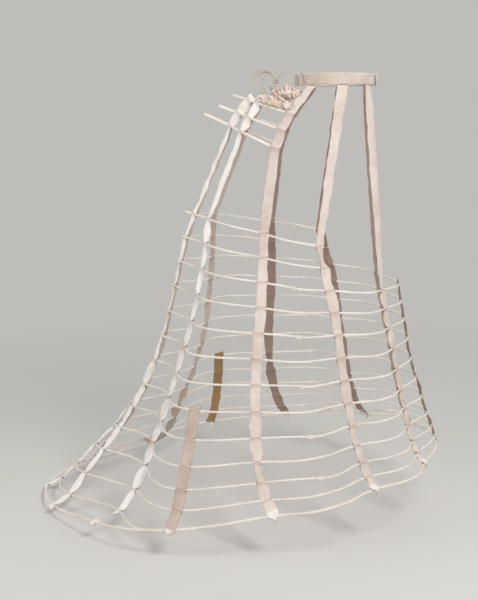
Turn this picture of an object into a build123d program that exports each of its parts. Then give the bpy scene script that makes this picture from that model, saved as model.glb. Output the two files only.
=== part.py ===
"""Trained cage crinoline of about 1865 to 1870, made of fourteen covered steel hoops.

Cotton tapes hang from a folded waistband and carry the hoops in woven pockets. Three
springy half hoops push the top of the back out, under two gathered and laced panels.
Lengths are in millimetres. The origin is the centre of the waistband, Z is up, and the
wearer faces -Y, so Y grows towards the train and -X is the wearer's right.
"""

import os
from math import atan2, ceil, cos, radians, sin, tan

from build123d import *

# Waistband: cotton folded over at the top, lapped at the centre front
WAIST_DEPTH = 186
WAIST_WIDTH = 214
BAND_HEIGHT = 27
BAND_PLY = 1.2
BAND_LAP_DEGREES = 15
LAP_CLEARANCE = 0.5

# Tapes: two plies, woven apart wherever a steel passes through
TAPE_WIDTH = 26
TAPE = 1.2
TAPE_PLY = 0.7
TAPE_END = 5
POCKET_REACH = 10
POCKET_WIDTH = 25
POCKET_SHARE = 0.45
LONG_TAPE_RUN = 48
TAPE_FACET_TURN = 5
CLEARANCE = 0.5

# Steels: flat strip in a braided cotton cover
HOOP_HEIGHT = 5.0
HOOP_THICKNESS = 2.6
HEM_HEIGHT = 6.0
HEM_THICKNESS = 3.2
BUSTLE_HEIGHT = 6.4
BUSTLE_THICKNESS = 3.6
CLASP_LENGTH = 12
CLASP_WALL = 0.5
CLASP_GAP = 1.5
CLASP_CLEARANCE = 0.7
STEEL_TAIL = 11
FACET_LENGTH = 140
FACET_TURN = 30
BAND_FACET_TURN = 18

# Depth of each hoop below the waist, down the centre back and down the centre front
BACK_DROP = (316, 375, 435, 496, 559, 622, 683, 745, 803, 856, 908, 963, 1003, 1022)
FRONT_DROP = (411, 449, 488, 529, 573, 621, 669, 718, 765, 807, 841, 865, 0, 881)
HEM = len(BACK_DROP)
TRAIN_HOOP = HEM - 1
TRAIN_HOOP_BACK = 686
TRAIN_HOOP_FALL = 0.093
TRAIN_HOOP_BACK_SIDE = (485, 279)
TRAIN_HOOP_CENTRE = (633, 137)
TRAIN_HOOP_END_Y = 396
BINDING_LENGTH = 14
BINDING_WALL = 0.7
BINDING_GAP = 0.8
OPEN_HOOPS = (1, 2)
FIRST_CLOSED = 3
FIRST_TRAIN = 8

# Where the hoops stand from the waist centre, given at these hoops and smooth between them
STATIONS = (1, 4, 7, 10, 12, 14)
BACK_REACH = (360, 394, 447, 545, 645, 722)
FRONT_REACH = (150, 168, 195, 238, 257, 262)
SIDE_BACK_Y = (159, 161, 170, 161, 139, 122)
SIDE_BACK_OUT = (147, 243, 290, 364, 395, 414)
SIDE_Y = (32, -4, -28, -57, -85, -99)
SIDE_OUT = (186, 240, 249, 268, 290, 314)
SIDE_FRONT_Y = (-100, -121, -152, -182, -206, -220)
SIDE_FRONT_OUT = (135, 139, 138, 122, 148, 175)
BACK_SIDE_Y = (296, 316, 364, 420, 453, 534)
BACK_SIDE_OUT = (62, 138, 165, 182, 250, 325)
LEFT_BACK_SIDE_FORWARD = (0, 3, 24, 15, 8, 0)
TRAIN_SIDE_Y = (300, 300, 303, 319, 333, 346)
TRAIN_SIDE_OUT = (150, 200, 250, 375, 412, 430)
CENTRE_TAPE_OUT = (22, 18, 25, 36, 88, 172)

# How far a hoop bows out between two tapes at each station, as a share of the span; minus is
# inwards. Beside the back side tape the bow comes late, so the hoop dips as it leaves the tape.
BOW = {
    ("front", "side_front"): (0.05, 0.05, 0.05, 0.05, 0.05, 0.05),
    ("side_front", "side"): (0.20, 0.20, 0.20, 0.20, 0.20, 0.20),
    ("side", "side_back"): (0.18, 0.18, 0.18, 0.18, 0.18, 0.18),
    ("side_back", "train_side"): (0.04, 0.04, 0.04, 0.04, 0.04, 0.04),
    ("side_back", "back_side"): (0.12, 0.18, 0.23, 0.23, 0.23, 0.23),
    ("train_side", "back_side"): (0.12, 0.12, 0.12, 0.14, 0.09, 0.08),
    ("back_side", "back"): (-0.04, -0.04, -0.07, -0.05, 0.05, 0.10),
}
BOW_PLACE = 0.5
LATE_BOW = ("side_back", "back_side")
LATE_BOW_PLACE = 0.66

# Bustle steels, top to bottom: back reach, height there, fall towards the front
BUSTLE = ((244, -36, 0.305), (283, -59, 0.36), (313, -80, 0.44))
BUSTLE_SIDE_BACK = ((103, 115), (123, 118), (136, 122))
BUSTLE_BACK_SIDE = ((179, 65), (200, 65), (219, 65))
BUSTLE_CENTRE = ((200, 45), (226, 39), (246, 34))

# Where the tapes leave the waistband, in degrees round from the centre front
WAIST_ANGLES = {"side_front": 34, "side": 79, "side_back": 126}

# Gathered panels beside the lacing: ends in plan, height of the middle, fall
PANEL_HEIGHT = 22
PANEL_PLY = 1.2
GATHER_PITCH = 8.5
GATHER_DEPTH = 2.4
PANEL_MIDDLE_Y = 146
PANELS = {
    "upper": (((80, 86), (118, 76), (147, 50)), -31, 0.0),
    "lower": (((108, 104), (146, 83), (170, 62)), -51, 0.30),
}

# Laces: what draws the panels together, with its knots and the loops left standing
LACE = 3.0
LACE_SIDES = 4
BEND_SHARE = 0.45
KNOT_CHAMFER = 4.5
KNOTS = {
    "lower": ((-48, 163, -48), (24, 26, 18)),
    "upper": ((-38, 142, -21), (22, 24, 18)),
}
LACE_ROUTES = {
    "loop_large": ((-52, 168, -38), (-50, 181, -26), (-48, 193, -7), (-44, 192, 12), (-40, 175, 22),
                   (-37, 153, 20), (-36, 139, 8), (-35, 137, -11)),
    "loop_middle": ((-48, 164, -38), (-44, 174, -24), (-40, 183, -6), (-37, 182, 10), (-34, 168, 18),
                    (-33, 153, 14), (-32, 145, 3), (-32, 144, -11)),
    "loop_inner": ((-44, 159, -38), (-45, 166, -24), (-46, 171, -9), (-47, 168, 5), (-46, 158, 13),
                   (-45, 147, 9), (-44, 141, -1), (-43, 140, -11)),
    "loop_small": ((-40, 135, -11), (-45, 134, 3), (-49, 127, 14), (-56, 116, 13), (-63, 110, 2),
                   (-71, 112, -10), (-75, 115, -18)),
    "loop_least": ((-79, 105, -18), (-74, 106, -3), (-70, 99, 11), (-72, 84, 11), (-79, 78, -4),
                   (-83, 82, -18)),
    "across_lower": ((-35, 163, -48), (-14, 168, -50), (14, 171, -51), (39, 171, -52), (60, 171, -53)),
    "across_upper": ((-26, 142, -22), (-8, 146, -25), (12, 149, -28), (32, 149, -30), (49, 148, -31)),
}

RIGHT, LEFT = -1, 1
SIDE_NAMES = {RIGHT: "right", LEFT: "left"}
UP = Vector(0, 0, 1)
WEARER = Vector(0, 60, 0)


def at_hoop(values, number):
    """Value at a hoop, on a smooth line through the values at the stations."""
    last = len(STATIONS) - 1
    k = max(j for j in range(last) if STATIONS[j] <= number)

    def slope(j):
        a, b = max(j - 1, 0), min(j + 1, last)
        return (values[b] - values[a]) / (STATIONS[b] - STATIONS[a])

    span = STATIONS[k + 1] - STATIONS[k]
    t = (number - STATIONS[k]) / span
    rise = values[k + 1] - values[k]
    start, end = slope(k) * span, slope(k + 1) * span
    return values[k] + start * t + (3 * rise - 2 * start - end) * t**2 + (start + end - 2 * rise) * t**3


def back_reach(number):
    return TRAIN_HOOP_BACK if number == TRAIN_HOOP else at_hoop(BACK_REACH, number)


def fall(number):
    """Drop of a hoop's plane for each millimetre towards the back."""
    if number == TRAIN_HOOP:
        return TRAIN_HOOP_FALL
    depth = back_reach(number) + at_hoop(FRONT_REACH, number)
    return (BACK_DROP[number - 1] - FRONT_DROP[number - 1]) / depth


def level(number, y):
    return -BACK_DROP[number - 1] + fall(number) * (back_reach(number) - y)


def stops(number, side):
    """Tape crossings of one half of a hoop, front to back, as name, y and distance out."""
    forward = at_hoop(LEFT_BACK_SIDE_FORWARD, number) if side == LEFT else 0
    row = [
        ("front", -at_hoop(FRONT_REACH, number), 0),
        ("side_front", at_hoop(SIDE_FRONT_Y, number), at_hoop(SIDE_FRONT_OUT, number)),
        ("side", at_hoop(SIDE_Y, number), at_hoop(SIDE_OUT, number)),
        ("side_back", at_hoop(SIDE_BACK_Y, number), at_hoop(SIDE_BACK_OUT, number)),
        ("train_side", at_hoop(TRAIN_SIDE_Y, number), at_hoop(TRAIN_SIDE_OUT, number)),
        ("back_side", at_hoop(BACK_SIDE_Y, number) - forward, at_hoop(BACK_SIDE_OUT, number)),
        ("back", back_reach(number), 0),
    ]
    if number in OPEN_HOOPS:
        row = row[2:]
    if number < FIRST_TRAIN:
        row = [stop for stop in row if stop[0] != "train_side"]
    return row


def half_outline(number, side):
    """Points of one half of a hoop with a bowed point in the middle of each span."""
    points = []
    row = stops(number, side)
    for (name, y, out), (next_name, next_y, next_out) in zip(row, row[1:]):
        points.append((name, y, out))
        share = at_hoop(BOW[name, next_name], number)
        along = LATE_BOW_PLACE if (name, next_name) == LATE_BOW else BOW_PLACE
        dy, dout = next_y - y, next_out - out
        points.append(("bow " + name, y + dy * along - dout * share, out + dout * along + dy * share))
    points.append(row[-1])
    return points


def hoop_outline(number, join_side):
    """Whole outline as 3-D points; a closed hoop starts at its join, an open one at its end."""
    halves = {side: half_outline(number, side) for side in (RIGHT, LEFT)}

    def place(point, side):
        return point[0], Vector(side * point[2], point[1], level(number, point[1]))

    first = [place(p, join_side) for p in halves[join_side]]
    second = [place(p, -join_side) for p in halves[-join_side]]
    round_back = first + second[-2::-1]
    if number in OPEN_HOOPS:
        return round_back
    names = [name for name, _ in round_back]
    start = names.index("bow side")
    return round_back[start:-1] + round_back[:start]


def ring(path, normal, height, thickness):
    """A steel's path with the normal of its plane and the size of its section."""
    return {"path": path, "normal": normal, "height": height, "thickness": thickness}


def facets(path, start, end, turn, straight=()):
    """Places along a path, closer together where it bends, and none inside the straight runs."""
    marks = {place for run in straight for place in run}
    marks = [start] + sorted(mark for mark in marks if start < mark < end) + [end]
    chosen = [start]
    for low, high in zip(marks, marks[1:]):
        fine = [low + (high - low) * i / 8 for i in range(9)]
        bend = sum((path % a).get_angle(path % b) for a, b in zip(fine, fine[1:]))
        count = ceil(max(bend / turn, (high - low) * path.length / FACET_LENGTH))
        count = 1 if any(a <= low and high <= b for a, b in straight) else count
        chosen += [low + (high - low) * i / count for i in range(1, count + 1)]
    return chosen


def run_under_tape(path, place):
    """Straight run that a steel makes inside a tape's pocket, as two places on its path."""
    reach = (TAPE_WIDTH / 2 + 1) / path.length
    return place - reach, place + reach


def seek(path, low, high, passed):
    """Place between two others on a path where a test starts to hold."""
    for _ in range(30):
        middle = (low + high) / 2
        if passed(path @ middle):
            high = middle
        else:
            low = middle
    return low


def strip(steel, start, end):
    """Flat strip on edge along part of a steel's path, square to the plane of the path."""
    path, normal = steel["path"], steel["normal"]
    crossings = {round(path.param_at_point(stop), 6) for stop in steel["stops"].values()}
    straight = [run_under_tape(path, place) for place in crossings]
    if path.is_closed:
        sleeved = (CLASP_LENGTH / 2 + 1) / path.length
        straight += [(0, sleeved), (1 - sleeved, 1)]
    outer, inner = [], []
    for place in facets(path, start, end, FACET_TURN, straight):
        outward = normal.cross(path % place).normalized() * (steel["thickness"] / 2)
        outer.append(path @ place - normal * (steel["height"] / 2) + outward)
        inner.append(path @ place - normal * (steel["height"] / 2) - outward)
    return extrude(make_face(Polyline(*outer, *inner[::-1], close=True)), amount=steel["height"], dir=normal)


def crossing(steel, name, side):
    """Place along a steel's path where the named tape crosses it."""
    return steel["path"].param_at_point(steel["stops"][name, side])


def sleeve(plane, height, thickness, length, wall, clearance):
    """Flat tube round one or two steels, with clearance inside."""
    height, thickness = height + 2 * clearance, thickness + 2 * clearance
    tube = Box(height + 2 * wall, thickness + 2 * wall, length) - Box(height, thickness, length)
    return plane * tube


def clasp(steel):
    """Metal sleeve crimped over the butted ends of a closed hoop."""
    plane = Plane(origin=steel["path"] @ 0, x_dir=steel["normal"], z_dir=steel["path"] % 0)
    return sleeve(plane, steel["height"], steel["thickness"], CLASP_LENGTH, CLASP_WALL, CLASP_CLEARANCE)


def beside_hem(hem, side):
    """Straight run of the hem hoop that a train hoop's end lies against, and the way inwards."""
    path = hem["path"]
    low, high = crossing(hem, "train_side", side), crossing(hem, "back_side", side)
    place = seek(path, low, high, lambda point: point.Y > TRAIN_HOOP_END_Y)
    here, along = chord(path, place)
    along = along if along.Y > 0 else -along
    inward = hem["normal"].cross(along).normalized()
    inward = inward if inward.dot(here - WEARER) < 0 else -inward
    return place, here, along, inward


def binding(hem, side):
    """Cotton wound round the train hoop's end and the hem hoop beside it."""
    _, here, along, inward = beside_hem(hem, side)
    middle = here + inward * ((HOOP_THICKNESS + BINDING_GAP) / 2)
    plane = Plane(origin=middle, x_dir=hem["normal"], z_dir=along)
    thickness = HEM_THICKNESS + HOOP_THICKNESS + BINDING_GAP
    return sleeve(plane, HEM_HEIGHT, thickness, BINDING_LENGTH, BINDING_WALL, CLEARANCE)


def make_steels():
    """Every hoop and bustle steel as a ring with its tape crossings."""
    steels = {}
    for number in range(HEM, 0, -1):
        join_side = RIGHT if number % 2 else LEFT
        normal = Vector(0, fall(number), 1).normalized()
        size = (HEM_HEIGHT, HEM_THICKNESS) if number == HEM else (HOOP_HEIGHT, HOOP_THICKNESS)
        if number == TRAIN_HOOP:
            steels[number] = train_hoop(steels[HEM], normal, size)
            continue
        outline = hoop_outline(number, join_side)
        points = [point for _, point in outline]
        if number in OPEN_HOOPS:
            ends = (points[0] + (points[0] - points[1]).normalized() * 2 * STEEL_TAIL,
                    points[-1] + (points[-1] - points[-2]).normalized() * 2 * STEEL_TAIL)
            path = Spline(ends[0], *points, ends[1])
        else:
            path = Spline(*points, periodic=True)
        steel = ring(path, normal, *size)
        steel["stops"] = {}
        for side in (RIGHT, LEFT):
            for name, y, out in stops(number, side)[: None if number >= FIRST_TRAIN else -1]:
                steel["stops"][name, side] = Vector(side * out, y, level(number, y))
        add_centre_tapes(steel, number)
        if number == HEM:
            for side in (RIGHT, LEFT):
                steel["stops"]["binding", side] = steel["path"] @ beside_hem(steel, side)[0]
        steels[number] = steel
    for index, (reach, height, drop) in enumerate(BUSTLE):
        steels["bustle", index] = bustle_steel(index, reach, height, drop)
    return steels


def add_centre_tapes(steel, number):
    """Find where the centre tapes cross a hoop, at a distance out from the centre back."""
    path = steel["path"]
    reach = back_reach(number)
    near = path.param_at_point(Vector(0, reach, level(number, reach)))
    for side in (RIGHT, LEFT):
        far = crossing(steel, "back_side", side)
        place = seek(path, near, far, lambda point: abs(point.X) > at_hoop(CENTRE_TAPE_OUT, number))
        steel["stops"]["centre", side] = path @ place


def train_hoop(hem, normal, size):
    """Half hoop that widens the train just above the hem; its ends are bound to the hem hoop."""
    row = [("back_side", *TRAIN_HOOP_BACK_SIDE), ("centre", *TRAIN_HOOP_CENTRE), ("back", TRAIN_HOOP_BACK, 0)]

    def place(y, out, side):
        return Vector(side * out, y, level(TRAIN_HOOP, y))

    def bound(side):
        _, here, along, inward = beside_hem(hem, side)
        here += inward * ((HEM_THICKNESS + HOOP_THICKNESS) / 2 + BINDING_GAP)
        run = [here + along * (TAPE_WIDTH / 2 * ahead) for ahead in (-1, 0, 1)]
        return [place(point.Y, abs(point.X), side) for point in run]

    points = bound(RIGHT) + [place(y, out, RIGHT) for _, y, out in row]
    points += [place(y, out, LEFT) for _, y, out in row[-2::-1]] + bound(LEFT)[::-1]
    steel = ring(Spline(*points), normal, *size)
    sides = (RIGHT, LEFT)
    steel["stops"] = {(name, side): place(y, out, side) for name, y, out in row for side in sides}
    steel["stops"].update({("binding", RIGHT): points[1], ("binding", LEFT): points[-2]})
    return steel


def bustle_steel(index, reach, height, drop):
    """Half hoop from one side back tape round the back to the other."""
    row = [("side_back", *BUSTLE_SIDE_BACK[index]), ("back_side", *BUSTLE_BACK_SIDE[index]),
           ("centre", *BUSTLE_CENTRE[index]), ("back", reach, 0)]

    def place(y, out, side):
        return Vector(side * out, y, height - drop * (reach - y))

    points = [place(y, out, RIGHT) for _, y, out in row]
    points += [place(y, out, LEFT) for _, y, out in row[-2::-1]]
    ends = [points[0] + (points[0] - points[1]).normalized() * 2 * STEEL_TAIL,
            points[-1] + (points[-1] - points[-2]).normalized() * 2 * STEEL_TAIL]
    normal = Vector(0, -drop, 1).normalized()
    steel = ring(Spline(ends[0], *points, ends[1]), normal, BUSTLE_HEIGHT, BUSTLE_THICKNESS)
    sides = (RIGHT, LEFT)
    steel["stops"] = {(name, side): place(y, out, side) for name, y, out in row[:-1] for side in sides}
    return steel


def band_path():
    """Middle line of the waistband, stepping out over itself at the front lap."""
    thickness = TAPE + 2 * (BAND_PLY + CLEARANCE)
    step = thickness + LAP_CLEARANCE
    around = [(angle, 0) for angle in range(0, 331, 30)]
    around += [(350, step), (360, step), (360 + BAND_LAP_DEGREES, step)]
    points = []
    for angle, lift in around:
        a = radians(angle)
        points.append(Vector(-sin(a) * (WAIST_WIDTH / 2 + lift), -cos(a) * (WAIST_DEPTH / 2 + lift), 0))
    return Spline(*points)


def waistband(path, straight):
    """Folded cotton band: two plies joined by the fold, open below for the tape ends."""
    gap = TAPE + 2 * CLEARANCE
    section = Rectangle(BAND_HEIGHT, gap + 2 * BAND_PLY)
    section -= Pos(-BAND_PLY, 0) * Rectangle(BAND_HEIGHT, gap)
    wires = []
    for place in facets(path, 0, 1, BAND_FACET_TURN, straight):
        wires.append((Plane(origin=path @ place, x_dir=UP, z_dir=path % place) * section).wire())
    return Solid.make_loft(wires, True)


def chord(path, place):
    """Middle and direction of the straight run that a path's steel makes under a tape."""
    behind, ahead = (path @ end for end in run_under_tape(path, place))
    return (ahead + behind) / 2, (ahead - behind).normalized()


def slab(centre, along, direction, width, thickness):
    """Flat rectangle across a tape, as a wire, for a tape that runs in the given direction."""
    plane = Plane(origin=centre, x_dir=along, z_dir=direction - along * direction.dot(along))
    return (plane * Rectangle(width, thickness)).wire()


def eased(spots):
    """Sections of a tape with more of them in each long run that twists."""
    sections = spots[:1]
    for start, end in zip(spots, spots[1:]):
        long = (end[0] - start[0]).length > LONG_TAPE_RUN
        count = max(1, ceil(start[1].get_angle(end[1]) / TAPE_FACET_TURN)) if long else 1
        for i in range(1, count + 1):
            centre, hand, way = (a + (b - a) * (i / count) for a, b in zip(start, end))
            sections.append((centre, hand.normalized(), way.normalized()))
    return sections


def ribbon(sections, width, thickness):
    """Flat strip through its sections, in flat triangles that fold the same way front and back."""
    rings = []
    for centre, hand, way in sections:
        across = hand * (width / 2)
        outward = hand.cross(way).normalized() * (thickness / 2)
        rings.append([centre - across - outward, centre + across - outward,
                      centre + across + outward, centre - across + outward])
    faces = [Face(Wire.make_polygon(ring, close=True)) for ring in (rings[0], rings[-1])]
    for a, b in zip(rings, rings[1:]):
        for k, following, fold_at_start in ((0, 1, True), (1, 2, True), (2, 3, False), (3, 0, True)):
            halves = ((a[k], a[following], b[following]), (a[k], b[following], b[k]))
            if not fold_at_start:
                halves = ((a[k], a[following], b[k]), (a[following], b[following], b[k]))
            faces += [Face(Wire.make_polygon(half, close=True)) for half in halves]
    return Solid(Shell(faces))


def tape(places, waist=None):
    """A tape down the outside of its steels; an inner ply makes a pocket round each steel."""
    lines = [chord(steel["path"], place) for steel, place in places]
    hand = lines[0][1]
    spots = []
    if waist:
        top, hand = waist[0], waist[1] * (1 if waist[1].dot(hand) > 0 else -1)
        for height in (BAND_HEIGHT / 2 - BAND_PLY - CLEARANCE, -BAND_HEIGHT / 2 - 1):
            spots.append((top + UP * height, hand, -UP))
    caught = len(spots)
    centres = [spot[0] for spot in spots[-1:]] + [here for here, _ in lines]
    pockets = []
    for i, (here, along) in enumerate(lines):
        steel = places[i][0]
        hand = along = along if along.dot(hand) > 0 else -along
        k = i + (1 if waist else 0)
        up = centres[k - 1] if k else here - (centres[k + 1] - here)
        down = centres[k + 1] if k + 1 < len(centres) else here + (here - up)
        direction = (down - up).normalized()
        outward = along.cross(direction).normalized()
        outward = outward if outward.dot(here - WEARER) > 0 else -outward
        thin = steel["normal"].cross(along).normalized()
        depth, tall = (steel["height"] * abs(steel["normal"].dot(way))
                       + steel["thickness"] * abs(thin.dot(way)) for way in (outward, direction))
        spots.append((here + outward * (depth / 2 + CLEARANCE + TAPE / 2), along, direction))
        pockets.append((along, direction, outward, depth, tall))
    first, last = spots[caught], spots[-1]
    if not waist:
        rise = (first[0] - spots[caught + 1][0]).normalized() * (POCKET_REACH + TAPE_END)
        spots.insert(0, (first[0] + rise, first[1], first[2]))
        caught = 1
    drop = (last[0] - spots[-2][0]).normalized() * (POCKET_REACH + TAPE_END)
    spots.append((last[0] + drop, last[1], last[2]))
    body = spots[:caught]
    plies = []
    for i, (along, direction, outward, depth, tall) in enumerate(pockets):
        spot = spots[caught + i][0]
        ways = [other[0] - spot for other in (spots[caught + i - 1], spots[caught + i + 1])]
        reaches = [min(POCKET_REACH, POCKET_SHARE * way.length) for way in ways]
        above, below = (spot + way.normalized() * reach for way, reach in zip(ways, reaches))
        body += [(above, along, direction), spots[caught + i], (below, along, direction)]
        room = depth + 3 * CLEARANCE + TAPE_PLY + TAPE / 2
        apex = spot - outward * (room / (1 - (tall / 2 + CLEARANCE) / min(reaches)))
        wires = [slab(place, along, direction, POCKET_WIDTH, TAPE_PLY) for place in (above, apex, below)]
        plies.append(Solid.make_loft(wires, True))
    solid = ribbon(eased(body + spots[-1:]), TAPE_WIDTH, TAPE)
    return solid.fuse(*plies)


def gathered_panel(plan, middle, drop, side):
    """Cloth puckered on a drawstring, drawn as a wave along its line and raised by its height."""
    plane = Plane(origin=(0, 0, middle), x_dir=(1, 0, 0), z_dir=(0, -drop, 1))
    line = Spline(*[(side * out, y - PANEL_MIDDLE_Y, 0) for y, out in plan])
    waves = int(line.length / GATHER_PITCH)
    edge = []
    for i in range(2 * waves + 1):
        place = i / (2 * waves)
        direction = (line % place).cross(UP)
        edge.append((line @ place, direction, GATHER_DEPTH * (1 if i % 2 else -1)))
    front = [point + direction * (wave + PANEL_PLY / 2) for point, direction, wave in edge]
    back = [point + direction * (wave - PANEL_PLY / 2) for point, direction, wave in edge]
    outline = make_face(Polyline(*front, *back[::-1], close=True))
    solid = extrude(outline, amount=PANEL_HEIGHT / 2, dir=(0, 0, 1), both=True)
    place = Plane(origin=(0, PANEL_MIDDLE_Y, middle), x_dir=(1, 0, 0), z_dir=(0, -drop, 1))
    return place * solid


def knot(centre, size):
    """Tight knot, as a lump with its edges well rounded off."""
    return Pos(*centre) * chamfer(Box(*size).edges(), KNOT_CHAMFER)


def lace(name, route):
    """Cord along straight runs joined by arcs as large as the runs allow."""
    section = RegularPolygon(LACE / 2, LACE_SIDES)
    points = [Vector(*point) for point in route]
    runs = [(b - a).length for a, b in zip(points, points[1:])]
    radii = []
    for i in range(1, len(points) - 1):
        turn = (points[i] - points[i - 1]).get_angle(points[i + 1] - points[i])
        radii.append(BEND_SHARE * min(runs[i - 1], runs[i]) / tan(radians(turn / 2)))
    path = FilletPolyline(*points, radius=radii)
    cord = sweep(Plane(origin=path @ 0, z_dir=path % 0) * section, path=path)
    print(name, "length", round(path.length), "smallest radius", round(min(radii), 1),
          "volume over section by length", round(cord.volume / (section.area * path.length), 3))
    return cord


def write(name, solid):
    export_step(solid, f"parts/{name}.step")


def waist_place(name, side):
    """Place on the waistband's line where a tape's end is caught."""
    angle = radians(WAIST_ANGLES[name])

    def passed(point):
        turned = atan2(abs(point.X) / WAIST_WIDTH, -point.Y / WAIST_DEPTH)
        return turned > angle if side == RIGHT else turned < angle

    return seek(BAND, 0 if side == RIGHT else 0.5, 0.5 if side == RIGHT else 0.95, passed)


def steels_at(name, side, first, last=HEM, skip=(), bustle=False):
    """The steels that one tape crosses, top to bottom, each with its place on the path."""
    chosen = [STEELS["bustle", index] for index in range(len(BUSTLE))] if bustle else []
    chosen += [STEELS[n] for n in range(first, last + 1) if n not in skip]
    return [(steel, crossing(steel, name, side)) for steel in chosen]


os.makedirs("parts", exist_ok=True)
STEELS = make_steels()
BAND = band_path()
CAUGHT = {(name, side): waist_place(name, side) for name in WAIST_ANGLES for side in (RIGHT, LEFT)}

write("waistband", waistband(BAND, [run_under_tape(BAND, place) for place in CAUGHT.values()]))
clasps = []
for number in range(1, HEM + 1):
    steel = STEELS[number]
    closed = number not in OPEN_HOOPS and number != TRAIN_HOOP
    cut_back = CLASP_GAP / 2 if closed else 0 if number == TRAIN_HOOP else STEEL_TAIL
    trim = cut_back / steel["path"].length
    write(f"hoop_{number:02d}", strip(steel, trim, 1 - trim))
    if closed:
        clasps.append(clasp(steel))
write("hoop_clasps", Compound(clasps))
write("train_hoop_bindings", Compound([binding(STEELS[HEM], side) for side in (RIGHT, LEFT)]))
for index in range(len(BUSTLE)):
    steel = STEELS["bustle", index]
    trim = STEEL_TAIL / steel["path"].length
    write(f"bustle_steel_{index + 1}", strip(steel, trim, 1 - trim))

NO_TRAIN_HOOP = (TRAIN_HOOP,)
write("front_tape", tape(steels_at("front", RIGHT, FIRST_CLOSED, skip=NO_TRAIN_HOOP)))
write("back_tape", tape(steels_at("back", RIGHT, FIRST_TRAIN)))
for side in (RIGHT, LEFT):
    hand = SIDE_NAMES[side]
    write(f"side_front_tape_{hand}", tape(
        steels_at("side_front", side, FIRST_CLOSED, skip=NO_TRAIN_HOOP),
        chord(BAND, CAUGHT["side_front", side])))
    write(f"side_tape_{hand}", tape(
        steels_at("side", side, 1, skip=NO_TRAIN_HOOP), chord(BAND, CAUGHT["side", side])))
    write(f"side_back_tape_{hand}", tape(
        steels_at("side_back", side, 1, skip=NO_TRAIN_HOOP, bustle=True),
        chord(BAND, CAUGHT["side_back", side])))
    write(f"back_side_tape_{hand}", tape(steels_at("back_side", side, 1, bustle=True)))
    write(f"centre_tape_{hand}", tape(steels_at("centre", side, 1, bustle=True)))
    write(f"train_tape_{hand}", tape(
        steels_at("train_side", side, FIRST_TRAIN, skip=NO_TRAIN_HOOP)))
    for name, (plan, middle, drop) in PANELS.items():
        write(f"gathered_panel_{name}_{hand}", gathered_panel(plan, middle, drop, side))
for name, (centre, size) in KNOTS.items():
    write(f"lace_knot_{name}", knot(centre, size))
for name, route in LACE_ROUTES.items():
    write(f"lace_{name}", lace(name, route))
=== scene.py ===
import math
import random
from collections import namedtuple

import bpy
from mathutils import Matrix, Vector, kdtree, noise


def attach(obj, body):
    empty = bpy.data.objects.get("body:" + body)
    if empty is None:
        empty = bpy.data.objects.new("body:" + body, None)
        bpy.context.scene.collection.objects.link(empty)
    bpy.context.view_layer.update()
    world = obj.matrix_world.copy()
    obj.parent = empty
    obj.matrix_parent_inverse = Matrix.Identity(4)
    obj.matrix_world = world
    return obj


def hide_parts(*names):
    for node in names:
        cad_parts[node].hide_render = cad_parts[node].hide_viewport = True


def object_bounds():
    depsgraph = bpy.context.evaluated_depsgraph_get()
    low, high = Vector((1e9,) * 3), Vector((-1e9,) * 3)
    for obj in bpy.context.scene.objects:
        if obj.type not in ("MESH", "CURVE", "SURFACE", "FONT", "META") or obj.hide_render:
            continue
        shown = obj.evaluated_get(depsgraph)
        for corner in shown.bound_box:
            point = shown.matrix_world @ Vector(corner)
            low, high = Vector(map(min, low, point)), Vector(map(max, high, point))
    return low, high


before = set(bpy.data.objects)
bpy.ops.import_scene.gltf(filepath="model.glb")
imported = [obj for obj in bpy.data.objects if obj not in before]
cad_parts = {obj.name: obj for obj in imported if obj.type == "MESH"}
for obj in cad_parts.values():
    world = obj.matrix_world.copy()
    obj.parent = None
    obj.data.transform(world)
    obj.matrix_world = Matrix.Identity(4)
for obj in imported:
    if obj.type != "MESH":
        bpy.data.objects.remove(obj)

cad_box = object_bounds()


# The camera stands level with the wearer's hips on their right, 2.7 m off, and looks a little
# down and towards the train, as the photograph was taken.
CAMERA_PLACE = (-2.708, 0.023, -0.073)
CAMERA_TURN, CAMERA_PITCH = 0.0759, -0.168
FOCAL_PIXELS, PHOTO_HEIGHT = 1115, 600
SENSOR_MM = 36

camera = bpy.data.objects.new("camera", bpy.data.cameras.new("camera"))
bpy.context.scene.collection.objects.link(camera)
bpy.context.scene.camera = camera
camera.location = CAMERA_PLACE
looking = Vector((math.cos(CAMERA_TURN) * math.cos(CAMERA_PITCH),
                  math.sin(CAMERA_TURN) * math.cos(CAMERA_PITCH), math.sin(CAMERA_PITCH)))
camera.rotation_mode = "QUATERNION"
camera.rotation_quaternion = looking.to_track_quat("-Z", "Y")
camera.data.sensor_width = SENSOR_MM
camera.data.lens = SENSOR_MM * FOCAL_PIXELS / PHOTO_HEIGHT


# Fourteen hoops and three short bustle steels: flat spring steel strip in a cover of braided
# cotton, which rounds its edges. Each is cut to length and sprung into its tapes' pockets.
UP = Vector((0, 0, 1))
WEARER = Vector((0, 0.060, 0))
EDGE_FACES_UP = 0.8
SAME_LEVEL = 0.0005
SECTION_REACH = 0.0042
NEARLY_MET = 0.003
COVER_STEP = 0.006
COVER_CORNERS = 12
COVER_EDGE_CURVE, COVER_FACE_CURVE = 0.55, 0.75
HOOP_THICKNESS, HEM_THICKNESS, BUSTLE_THICKNESS = 0.0032, 0.0038, 0.0040
OPEN_STEELS = ("hoop_01", "hoop_02", "hoop_13", "bustle_steel_1", "bustle_steel_2", "bustle_steel_3")
PATCH_MM, SPOT_MM, SLUB_MM = 60, 25, 6


def linear(code):
    """sRGB hex, such as "D8C4B0", to the linear colour that a shader takes."""
    values = [int(code[i:i + 2], 16) / 255 for i in (0, 2, 4)]
    return [v / 12.92 if v <= 0.04045 else ((v + 0.055) / 1.055) ** 2.4 for v in values] + [1]


def grey(value):
    """A plain level, for a pattern that steers roughness, height or a mix."""
    return [value, value, value, 1]


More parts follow.
